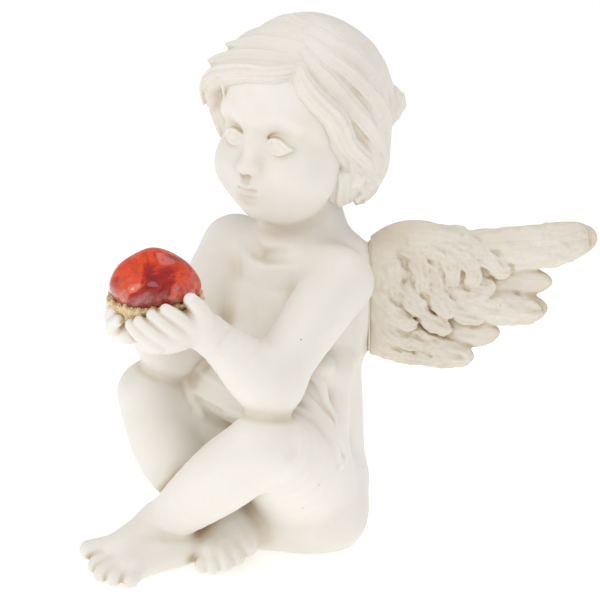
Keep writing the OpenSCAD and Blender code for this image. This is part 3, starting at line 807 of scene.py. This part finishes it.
def lockPath(stations):
    track = smoothPath(stations, 6)
    az, el, r = np.radians(track[:, 0]), np.radians(track[:, 1]), track[:, 2].copy()
    # the hair lies closer to the skull over the upper dome and behind the ears
    r -= hair["domeDip"] * np.exp(-((track[:, 1] - 52) / 25) ** 2)
    back = 1 / (1 + np.exp((80 - np.abs(track[:, 0])) / 8))
    r -= hair["backDip"] * back * np.exp(-(track[:, 1] / 34) ** 4)
    local = np.stack([np.sin(az) * np.cos(el) * r, -np.cos(az) * np.cos(el) * r, np.sin(el) * r], axis=1)
    points = np.array([onHead(*p) for p in local])
    out = points - np.array(head["centre"])
    out /= np.linalg.norm(out, axis=1, keepdims=True)
    return np.hstack([points, track[:, 3:4], out])


def growHair(finish):
    rng = np.random.default_rng(hair["seed"])
    paths = [lockPath(s) for s in hair["leftSide"] + hair["curls"] + hair["fringe"]]
    # the crown and back: waved locks from the whorl down to the nape
    for first, sway in hair["rows"]:
        for az in np.arange(first, hair["rowEnd"], hair["rowSpacing"]):
            w = rng.uniform(-4, 4, 7)
            long = rng.uniform(-3, 3)
            paths.append(lockPath([
                (az * 0.6 + 70, 84, 10.9, 0.7), (az + sway + w[0], 60, 11.0, 1.5),
                (az - sway + w[1], 34, 11.3, 1.8), (az + sway + w[2], 8, 11.6, 1.8),
                (az - sway + w[3], -18, 12.1, 1.7), (az + sway + w[4], -38, 13.2, 1.6),
                (az - sway + w[5], -50 + long, 14.8, 1.4), (az + sway + w[6], -57 + long, 16.0, 0.6)]))
    # short curls over the nape
    for az in np.arange(140, 262, 17):
        w = rng.uniform(-5, 5, 4)
        turn = 9 if int(az) % 2 else -9
        paths.append(lockPath([(az, -36, 12.8, 1.0), (az + turn + w[0], -46, 14.2, 1.6),
                               (az + turn * 1.6 + w[1], -55, 15.6, 1.3), (az + w[2], -59, 16.6, 0.5)]))
    tree = sweepTree("combed_lock", False)
    verts, tris = sweepAll("hair_guides", tree, paths, finish, Rings=44, Around=54, Flatness=hair["flatness"],
                           Ribs=hair["strands"], **{"Rib Depth": hair["strandDepth"]})
    clay = newClay(*hair["block"], claySettings["hairCell"])
    clay["depth"] = clayFromMesh(clay, verts, tris)
    cap = newClay(*hair["block"], claySettings["hairCell"])
    egg(cap, onHead(0, 0.3, 0.3), hair["cap"], 0.2, turn=head["turn"])
    egg(cap, onHead(1.2, -12.9, -4.4), (9.3, 8.0, 9.6), 0.8, cut=True, turn=head["turn"])
    egg(cap, onHead(0, -6.0, -15.5), (12.5, 6.4, 9.4), 0.8, cut=True, turn=head["turn"])
    # hair has no hollows: each lock is backed by a plain core, and only the curls hang free
    curls = range(len(hair["leftSide"]), len(hair["leftSide"] + hair["curls"]))
    for i, path in enumerate(paths):
        if i in curls:
            continue
        core = path[::3, :4].copy()
        core[:, :3] -= path[::3, 4:7] * hair["coreDepth"]
        core[:, 3] = core[:, 3] * 0.95 + 0.35
        limb(cap, core, 0.9, steps=1)
    egg(cap, onHead(1.2, -13.2, -4.6), (8.9, 7.0, 9.0), 0.6, cut=True, turn=head["turn"])
    press(clay, (slice(None),) * 3, cap["depth"], hair["soft"])
    obj, points = skinOf(clay, "swept_hair")
    writeValue(obj.data, "strand", strandOf(points, paths))
    return obj


def strandOf(points, paths):
    # how far across its nearest lock each point lies; neighbouring locks start at different values
    centres = np.concatenate([path[:-1, :3] for path in paths]).astype(np.float32)
    across = np.concatenate([np.cross(path[1:, :3] - path[:-1, :3], path[:-1, 4:7]) for path in paths])
    across /= np.maximum(np.linalg.norm(across, axis=1, keepdims=True), 1e-6)
    start = np.concatenate([np.full(len(path) - 1, 2.37 * i) for i, path in enumerate(paths)])
    value = np.empty(len(points))
    for first in range(0, len(points), 4000):
        part = points[first:first + 4000].astype(np.float32)
        far = (part ** 2).sum(1)[:, None] - 2 * part @ centres.T + (centres ** 2).sum(1)[None, :]
        near = far.argmin(1)
        value[first:first + 4000] = ((part - centres[near]) * across[near]).sum(1) + start[near]
    return value


hairResin = agedResin("aged_ivory_hair", resin["hairShadeAndWash"], 0.03, strands=8.0)
hairPiece = growHair(hairResin)
hairPiece.data.materials.append(hairResin)
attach(hairPiece, "root")
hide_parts("figure_casting")
print("hair grown:", len(hairPiece.data.polygons), "faces")


# Wings

wing = {
    "film": 0.25,            # of glue, between the seat and the root
    "faceLimit": 150000,
    "block": ((9.2, -4.2, 23.0), (42.2, 4.2, 48.0)),
    "webSpan": (12, 21, 26, 30, 40),
    "webThick": (1.5, 1.5, 1.15, 0.4, 0.25),   # half, at each span
    "webEdge": 0.45,
    # bars that fill the web near the root
    "webBars": [
        [(10.0, 0, 40.0, 2.0), (10.0, 0, 30.0, 2.0)],
        [(13.0, 0, 41.0, 2.4), (18.0, 0, 38.0, 3.0), (22.0, 0, 37.0, 2.6)],
        [(14.0, 0, 37.0, 2.6), (17.0, 0, 33.5, 2.6)],
        [(13.0, 0, 34.0, 2.0), (14.0, 0, 31.0, 2.0)],
    ],
    "flightFlatness": 0.55,
    "covertFlatness": 0.62,
    "soft": 0.12,
    "wrinkles": 2.6,
    "wrinkleDepth": 0.42,
    # span, height and half width down each flight feather
    "flights": [
        [(14.0, 42.8, 1.6), (20.0, 41.9, 2.4), (26.0, 41.6, 3.0), (31.0, 41.9, 3.2), (35.3, 42.4, 3.2),
         (37.6, 42.9, 2.8), (39.3, 43.2, 2.3), (40.2, 43.3, 1.2)],
        [(17.0, 40.4, 1.6), (21.0, 39.0, 1.9), (25.5, 37.8, 2.0), (30.0, 37.1, 1.9), (33.0, 36.9, 1.6),
         (34.2, 36.9, 1.1), (34.9, 36.9, 0.4)],
        [(15.0, 38.6, 1.6), (18.0, 36.4, 1.9), (23.0, 34.5, 2.2), (28.0, 33.3, 2.3), (31.5, 32.9, 2.1),
         (33.2, 32.9, 1.6), (34.1, 33.0, 0.6)],
        [(12.5, 35.6, 1.4), (14.5, 33.4, 1.7), (17.6, 31.4, 1.9), (21.4, 29.9, 2.0), (25.0, 29.3, 1.9),
         (26.9, 29.3, 1.3), (27.7, 29.4, 0.5)],
        [(11.8, 34.0, 1.2), (14.2, 30.8, 1.5), (17.6, 28.5, 1.7), (21.0, 26.9, 1.7), (23.4, 25.9, 1.3),
         (24.4, 25.6, 0.5)],
        [(10.6, 32.4, 1.3), (12.2, 30.5, 1.6), (14.2, 28.9, 1.6), (17.0, 27.6, 1.4), (19.6, 26.9, 0.9),
         (20.6, 26.7, 0.4)],
        [(10.5, 29.8, 1.3), (12.4, 27.5, 1.5), (15.8, 26.2, 1.4), (19.4, 25.6, 1.2), (21.8, 25.3, 0.9),
         (22.8, 25.3, 0.4)],
    ],
    # the same for the small feathers of both faces, with how far each stands off the middle
    "coverts": [
        [1.55, (19.0, 43.6, 0.9), (21.6, 43.2, 1.25), (24.7, 41.8, 1.35), (27.4, 39.9, 1.35),
         (28.7, 38.8, 1.1), (29.3, 38.2, 0.45)],
        [1.75, (17.4, 43.3, 0.9), (20.2, 43.0, 1.2), (22.6, 41.8, 1.3), (24.0, 39.6, 1.3), (24.1, 37.6, 1.2),
         (23.8, 36.6, 0.5)],
        [1.8, (15.4, 43.0, 0.9), (17.8, 42.8, 1.2), (20.2, 41.6, 1.3), (21.3, 39.8, 1.25), (21.3, 37.8, 1.15),
         (21.0, 36.8, 0.5)],
        [1.2, (21.2, 36.8, 0.6), (22.4, 35.6, 0.9), (24.2, 35.0, 1.0), (26.0, 35.7, 0.95), (26.7, 36.9, 0.8),
         (26.5, 37.8, 0.35)],
        [1.6, (14.6, 42.4, 0.8), (16.4, 41.2, 1.15), (17.2, 38.8, 1.25), (17.4, 36.8, 1.1), (17.3, 35.6, 0.45)],
        [1.35, (18.0, 41.0, 0.7), (19.3, 39.6, 1.1), (19.9, 37.8, 1.2), (19.9, 36.2, 1.0), (19.7, 35.4, 0.4)],
        [1.5, (14.6, 37.4, 0.7), (15.3, 35.9, 1.1), (16.2, 34.4, 1.25), (17.0, 33.0, 1.0), (17.3, 32.4, 0.4)],
        [1.45, (18.0, 37.0, 0.7), (19.2, 35.8, 1.2), (20.2, 34.2, 1.35), (21.0, 32.6, 1.1), (21.3, 31.9, 0.4)],
        [1.4, (11.2, 36.0, 0.8), (11.9, 34.2, 1.2), (13.4, 32.4, 1.25), (15.2, 31.4, 1.15), (16.8, 31.0, 0.5)],
        [1.25, (16.6, 33.6, 0.6), (18.0, 32.0, 1.05), (20.2, 30.6, 1.05), (21.6, 30.0, 0.45)],
        [1.1, (11.0, 42.0, 1.0), (12.3, 40.6, 1.6), (13.0, 38.0, 1.7), (13.3, 35.6, 1.4), (13.5, 34.4, 0.6)],
        [1.2, (22.0, 40.2, 0.6), (23.6, 38.0, 0.9), (25.6, 36.6, 0.9), (26.9, 35.4, 0.5)],
        [1.2, (20.6, 34.0, 0.6), (22.4, 32.6, 0.9), (24.6, 31.8, 0.8), (26.0, 31.5, 0.4)],
        [1.2, (10.8, 33.0, 0.6), (12.0, 30.6, 0.9), (14.2, 28.9, 1.0), (17.0, 27.9, 0.9), (19.0, 27.4, 0.4)],
    ],
    "arm": [(10.2, 0, 40.2, 2.0), (11.8, 0, 42.0, 2.2), (14.2, 0, 43.3, 2.25), (17.0, 0, 43.6, 2.2),
            (19.6, 0, 43.2, 1.9), (22.0, 0, 42.4, 1.3)],
}


def featherPath(stations, across, curl=0.0):
    track = smoothPath(stations, 6)
    n = len(track)
    drop = across * (1 + curl * np.linspace(0, 1, n) ** 2)
    face = np.tile(np.array([[0, 1.0, 0]]) * (1 if across >= 0 else -1), (n, 1))
    return np.hstack([track[:, :1], drop[:, None], track[:, 1:2], track[:, 2:3], face])


def webOf(clay, flights):
    # the solid core of the wing: the outline of all flight feathers, thick at the root and thin to the tip
    where, grid = patchOf(clay, *wing["block"])
    outline = None
    for path in [flight[::4, :4] for flight in flights] + [np.array(bar) for bar in wing["webBars"]]:
        flat = path.astype(np.float32)
        flat[:, 1] = 0
        for a, b in zip(flat[:-1], flat[1:]):
            one = coneDepth((grid[0], 0 * grid[1][:, :1], grid[2]), a, b)
            if outline is None:
                outline = one
                continue
            lap = np.maximum(1.2 - np.abs(outline - one), 0) / 1.2
            outline = np.minimum(outline, one) - lap * lap * 0.3
    thick = np.interp(grid[0], wing["webSpan"], wing["webThick"]).astype(np.float32)
    # thinner again toward the lower edge
    full = np.clip((grid[2] - 29.5 - 0.12 * grid[0]) / 3, 0, 1)
    side = np.abs(grid[1]) - (wing["webEdge"] + np.maximum(thick - wing["webEdge"], 0) * full)
    edge = outline + 0.35
    lap = np.maximum(0.8 - np.abs(side - edge), 0) / 0.8
    press(clay, where, (np.maximum(side, edge) + lap * lap * 0.2).astype(np.float32), 0.5)


def shapeWing(finish):
    tree = sweepTree("wrinkled_feather", True)
    sizes = {"Rings": 90, "Around": 44, "Ribs": wing["wrinkles"], "Rib Depth": wing["wrinkleDepth"]}
    flights = [featherPath([(s, z, w * (1.1 if i else 1.0)) for s, z, w in stations],
                           0.55 if i % 2 else -0.5, 0.2) for i, stations in enumerate(wing["flights"])]
    coverts = [featherPath([(s, z, w * 1.28) for s, z, w in stations[1:]], face * stations[0], -0.12)
               for face in (-1, 1) for stations in wing["coverts"]]
    clay = newClay(*wing["block"], claySettings["wingCell"])
    for name, paths, flatness in (("flight_guides", flights, wing["flightFlatness"]),
                                  ("covert_guides", coverts, wing["covertFlatness"])):
        # one at a time, so that a thin line stays where two feathers meet
        for path in paths:
            verts, tris = sweepAll(name, tree, [path], finish, Flatness=flatness, **sizes)
            press(clay, (slice(None),) * 3, clayFromMesh(clay, verts, tris), wing["soft"])
    webOf(clay, flights)
    limb(clay, wing["arm"], 0.8)
    limb(clay, [(10.4, 0, 28.2, 1.5), (10.8, 0, 33.0, 1.7), (10.6, 0, 40.6, 1.9)], 1.2)
    limb(clay, [(10.6, 0, 28.0, 1.4), (13.0, 0, 29.0, 1.2)], 1.2)
    # the root's flat face
    span = patchOf(clay, *wing["block"])[1][0]
    clay["depth"] = np.maximum(clay["depth"], figure["wingSeat"] + wing["film"] - span)
    obj, points = skinOf(clay, "left_feathered_wing", wing["faceLimit"])
    writeValue(obj.data, "strand", strandOf(points, flights))
    return obj, points


def placeWing(obj, points, side):
    a = math.radians(figure["wingTurn"])
    # the wing's own front is -y; both wings turn back from straight sideways
    x = points[:, 0] * math.cos(a) - points[:, 1] * math.sin(a)
    y = points[:, 0] * math.sin(a) + points[:, 1] * math.cos(a)
    placed = np.stack([side * x, y, points[:, 2]], axis=1)
    obj.data.vertices.foreach_set("co", (placed * mm).ravel())
    if side < 0:
        obj.data.flip_normals()
    obj.data.update()


# the wings' resin, with painted shade and a washed-in tan in their creases
wingResin = agedResin("wing_resin_shaded_and_washed", resin["wingShadeAndWash"], 0.04, strands=9.0)
leftWing, wingPoints = shapeWing(wingResin)
rightWing = link("right_feathered_wing", leftWing.data.copy())
for piece, node, side in ((leftWing, "left_wing", 1), (rightWing, "right_wing", -1)):
    placeWing(piece, wingPoints, side)
    piece.data.materials.append(wingResin)
    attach(piece, "root")
    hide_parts(node)
print("wings made:", len(leftWing.data.polygons), "faces each")


# Stone, glue and pins

stone = {
    "block": ((-7.5, -34, 36.4), (7.5, -19, 49)),
    "centre": (0.0, -26.35, 43.15),
    "facing": 45.0,          # degrees the broad side is turned
    # flats round the broad outline: angle from level, distance from the centre
    "girdle": [(153, 5.5), (119, 4.75), (82, 4.8), (58, 4.6), (31, 5.2), (-14, 6.0), (-59, 4.3), (-76, 3.9),
               (-129, 5.3), (-160, 5.7)],
    "lean": 36.0,            # how far the second flats lean to the front and back
    "halfDepth": 4.6,
    "roundness": 0.36,
    "swell": 0.42,
    "pale": (0.52, 0.31, 0.27),
    "bandLevel": 0.0447,     # metres above the floor, where the pale band ends
    "bandFade": 0.33,
}

glue = {
    "rim": 0.75,             # how far it stands out round the stone's foot
    "level": 41.5,
    "bed": (0, -26.4, 39.4),
    "bedSize": (5.0, 4.6, 1.9),
    "bite": 0.06,            # how far it reaches into the stone's skin
    "grainsPerArea": 9.0e6,
    "grainSize": 0.16,
    "seed": 11,
}


def stoneDepth(grid):
    c, s = math.cos(math.radians(stone["facing"])), math.sin(math.radians(stone["facing"]))
    x, y, z = (grid[i] - stone["centre"][i] for i in range(3))
    wide, deep = c * x + s * y, -s * x + c * y
    flats = [(0, 1, 0, stone["halfDepth"]), (0, -1, 0, stone["halfDepth"])]
    for angle, far in stone["girdle"]:
        a, w = math.cos(math.radians(angle)), math.sin(math.radians(angle))
        flats.append((a, 0, w, far))
        for side in (-1, 1):
            lean = math.radians(stone["lean"] + 6 * math.sin(angle))
            flats.append((a * math.cos(lean), side * math.sin(lean), w * math.cos(lean),
                          far * 0.9 + 0.2 * side * math.cos(angle)))
    total = 0
    for a, b, w, far in flats:
        total = total + np.exp(np.clip((wide * a + deep * b + z * w - far) / stone["roundness"], -40, 12))
    return stone["roundness"] * np.log(total) - stone["swell"]


stoneClay = newClay(*stone["block"], claySettings["stoneCell"])
where, grid = patchOf(stoneClay, *stone["block"])
stoneClay["depth"] = stoneDepth(grid).astype(np.float32)
stonePiece = skinOf(stoneClay, "tumbled_red_stone")[0]

glueClay = newClay(*stone["block"], claySettings["stoneCell"])
lump = 0.22 * np.sin(grid[0] * 2.3 + 1.0) * np.sin(grid[1] * 2.9) + 0.14 * np.sin(grid[0] * 5.1 + grid[1] * 4.3)
around = np.maximum(stoneClay["depth"] - glue["rim"] - 0.4 * lump, grid[2] - glue["level"] - lump)
press(glueClay, where, around.astype(np.float32), 0.1)
egg(glueClay, glue["bed"], glue["bedSize"], 0.8)
glueClay["depth"] = np.maximum(glueClay["depth"], -(stoneClay["depth"] + glue["bite"]))
gluePiece = skinOf(glueClay, "gem_glue_bed")[0]


def grainTree():
    tree, given, result = newTree("scattered_grains", [
        ("Bed", "Geometry", None), ("Density", "Float", 1.0), ("Grain Size", "Float", 0.001),
        ("Seed", "Int", 1), ("Finish", "Material", None)])
    dots = geo(tree, "DistributePointsOnFaces", {
        "Mesh": given["Bed"], "Density": given["Density"], "Seed": given["Seed"]})
    ball = geo(tree, "MeshIcoSphere", {"Radius": given["Grain Size"], "Subdivisions": 1})
    # each grain has its own size and turn, and is a little flat
    size = put(tree, "FunctionNodeRandomValue", {"Seed": given["Seed"], 2: 0.45, 3: 1.15}, data_type="FLOAT")
    turn = put(tree, "FunctionNodeRandomValue", {"Seed": given["Seed"], 1: (6.28,) * 3},
               data_type="FLOAT_VECTOR")
    wide = size.outputs[1]
    flake = vector(tree, wide, wide, calc(tree, "MULTIPLY", wide, 0.6))
    spread = geo(tree, "InstanceOnPoints", {
        "Points": dots, "Instance": ball, "Rotation": turn.outputs[0], "Scale": flake})
    return endTree(tree, spread, given, result)


def scatterGrains(bed, finish):
    values = {"Density": glue["grainsPerArea"], "Grain Size": glue["grainSize"] * mm, "Seed": glue["seed"],
              "Finish": finish}
    return link("gem_glue_grains", runTree(bed, grainTree(), values, "gem_glue_grains"))


def carnelian():
    mat, tree, skin = material("polished_carnelian")
    place = objectPlace(tree)
    cloud = noiseAt(tree, place, 210.0, 5.0, 0.6, 1.4)
    red = ramp(tree, cloud, [(0.30, (0.20, 0.003, 0.001)), (0.47, (0.42, 0.008, 0.001)),
                             (0.58, (0.80, 0.07, 0.004)), (0.74, (0.46, 0.012, 0.002))])
    # a paler, speckled band low on the stone
    level = put(tree, "ShaderNodeSeparateXYZ", {0: place}).outputs["Z"]
    fade = stone["bandFade"] / mm
    low = calc(tree, "MULTIPLY_ADD", level, -fade, fade * stone["bandLevel"] + 0.1)
    low = calc(tree, "MULTIPLY_ADD", calc(tree, "SUBTRACT", cloud, 0.5), 2.2, low, clamp=True)
    speck = ramp(tree, noiseAt(tree, place, 900.0, 5.0, 0.7), [(0.42, 0.1), (0.62, 1)])
    veil = calc(tree, "MULTIPLY", calc(tree, "MULTIPLY", low, speck), 0.85)
    fill(tree, skin, {
        "Base Color": blendColour(tree, veil, red, stone["pale"]),
        "Roughness": 0.12,
        "Specular IOR Level": 0.35,
        "Coat Weight": 0.6,
        "Coat Roughness": 0.04,
        "Subsurface Weight": 0.25,
        "Subsurface Radius": (1.0, 0.12, 0.05),
        "Subsurface Scale": 0.002,
        "Normal": bumpOf(tree, noiseAt(tree, place, 420.0, 2.0), 0.12, 0.0001)})
    return mat


def grainyFinish(name, pale, dark, metal, rough, scale):
    mat, tree, skin = material(name)
    place = objectPlace(tree)
    cells = cellsAt(tree, place, scale)
    mix = calc(tree, "MULTIPLY_ADD", noiseAt(tree, place, scale * 0.4), 0.8,
               calc(tree, "MULTIPLY", cells, 0.5), clamp=True)
    fill(tree, skin, {
        "Base Color": blendColour(tree, mix, dark, pale),
        "Roughness": calc(tree, "MULTIPLY_ADD", mix, 0.2, rough),
        "Metallic": metal,
        "Normal": bumpOf(tree, cells, 0.5, 0.00005)})
    return mat


stoneFinish = carnelian()
bedFinish = grainyFinish("amber_glitter_glue", (0.80, 0.62, 0.36), (0.50, 0.34, 0.16), 0.0, 0.3, 2600.0)
grainFinish = grainyFinish("gold_glitter", (0.95, 0.82, 0.56), (0.72, 0.54, 0.30), 0.35, 0.25, 1800.0)
pinFinish = grainyFinish("ground_steel", (0.62, 0.62, 0.61), (0.45, 0.45, 0.46), 1.0, 0.25, 5200.0)
filmFinish = grainyFinish("set_adhesive", (0.80, 0.73, 0.60), (0.66, 0.57, 0.42), 0.0, 0.4, 3000.0)
grainPiece = scatterGrains(gluePiece, grainFinish)
for piece, finish, node, slot in ((stonePiece, stoneFinish, "gemstone", "stone"),
                                  (gluePiece, bedFinish, "gemstone_glue", "glitter_glue"),
                                  (grainPiece, None, "gemstone_glue", "glitter_glue")):
    if finish:
        piece.data.materials.append(finish)
    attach(piece, "root")
    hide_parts(node)
for name, finish in (("left_wing_pin", pinFinish), ("right_wing_pin", pinFinish),
                     ("left_wing_glue", filmFinish), ("right_wing_glue", filmFinish)):
    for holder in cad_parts[name].material_slots:
        holder.material = finish
print("stone, glue and pins finished")

# Floor, light and camera

studio = {
    "azimuth": 45.0,
    "elevation": 20.0,
    "distance": 420.0,
    "aim": (0.3, 0.3, 34.2),
    "lens": 181.4,
    "worldStrength": 0.58,
    "floorGlow": 0.37,
    "floor": (0.93, 0.93, 0.93),
    "floorReach": 6.0,
    "lightAim": (0, 0, 36),
    # azimuth, elevation, distance, width, power
    "lights": {
        "key_light": (46, 50, 420, 220, 0.2),
        "fill_light": (-20, 34, 460, 260, 0.27),
        "top_light": (160, 72, 420, 260, 0.28),
        "glint_light": (-24, 34, 380, 40, 0.05),
    },
}


def along(azimuth, elevation, distance, centre=(0, 0, 0)):
    a, e = math.radians(azimuth), math.radians(elevation)
    way = (math.sin(a) * math.cos(e), -math.cos(a) * math.cos(e), math.sin(e))
    return tuple((centre[i] + distance * way[i]) * mm for i in range(3))


def aimed(name, data, place, target):
    # a light or a camera, looking from its place at the target
    obj = bpy.data.objects.new(name, data)
    bpy.context.scene.collection.objects.link(obj)
    obj.location = place
    back = obj.location - type(obj.location)([v * mm for v in target])
    obj.rotation_euler = back.to_track_quat("Z", "Y").to_euler()
    return obj


def softBox(name, azimuth, elevation, distance, size, power):
    data = bpy.data.lights.new(name, "AREA")
    data.shape, data.size, data.energy = "DISK", size * mm, power
    aimed(name, data, along(azimuth, elevation, distance), studio["lightAim"])


def buildStudio():
    scene = bpy.context.scene
    scene.view_settings.view_transform = "Standard"
    lens = bpy.data.cameras.new("camera")
    lens.lens, lens.sensor_width = studio["lens"], 36
    lens.clip_start, lens.clip_end = 0.01, 20
    place = along(studio["azimuth"], studio["elevation"], studio["distance"], studio["aim"])
    scene.camera = aimed("camera", lens, place, studio["aim"])
    world = bpy.data.worlds.new("studio")
    scene.world = world
    world.use_nodes = True
    fill(world.node_tree, world.node_tree.nodes["Background"], {
        "Color": (1, 1, 1, 1), "Strength": studio["worldStrength"]})
    for name, values in studio["lights"].items():
        softBox(name, *values)
    mesh = bpy.data.meshes.new("studio_floor")
    r = studio["floorReach"]
    mesh.from_pydata([(-r, -r, 0), (r, -r, 0), (r, r, 0), (-r, r, 0)], [], [(0, 1, 2, 3)])
    floor = link("studio_floor", mesh)
    mat, tree, surface = material("pale_floor")
    fill(tree, surface, {
        "Base Color": (*studio["floor"], 1),
        "Roughness": 0.7,
        "Emission Color": (1, 1, 1, 1),
        "Emission Strength": studio["floorGlow"],
        "Normal": bumpOf(tree, noiseAt(tree, objectPlace(tree), 900.0), 0.05, 0.0001)})
    mesh.materials.append(mat)


buildStudio()
print("studio built")
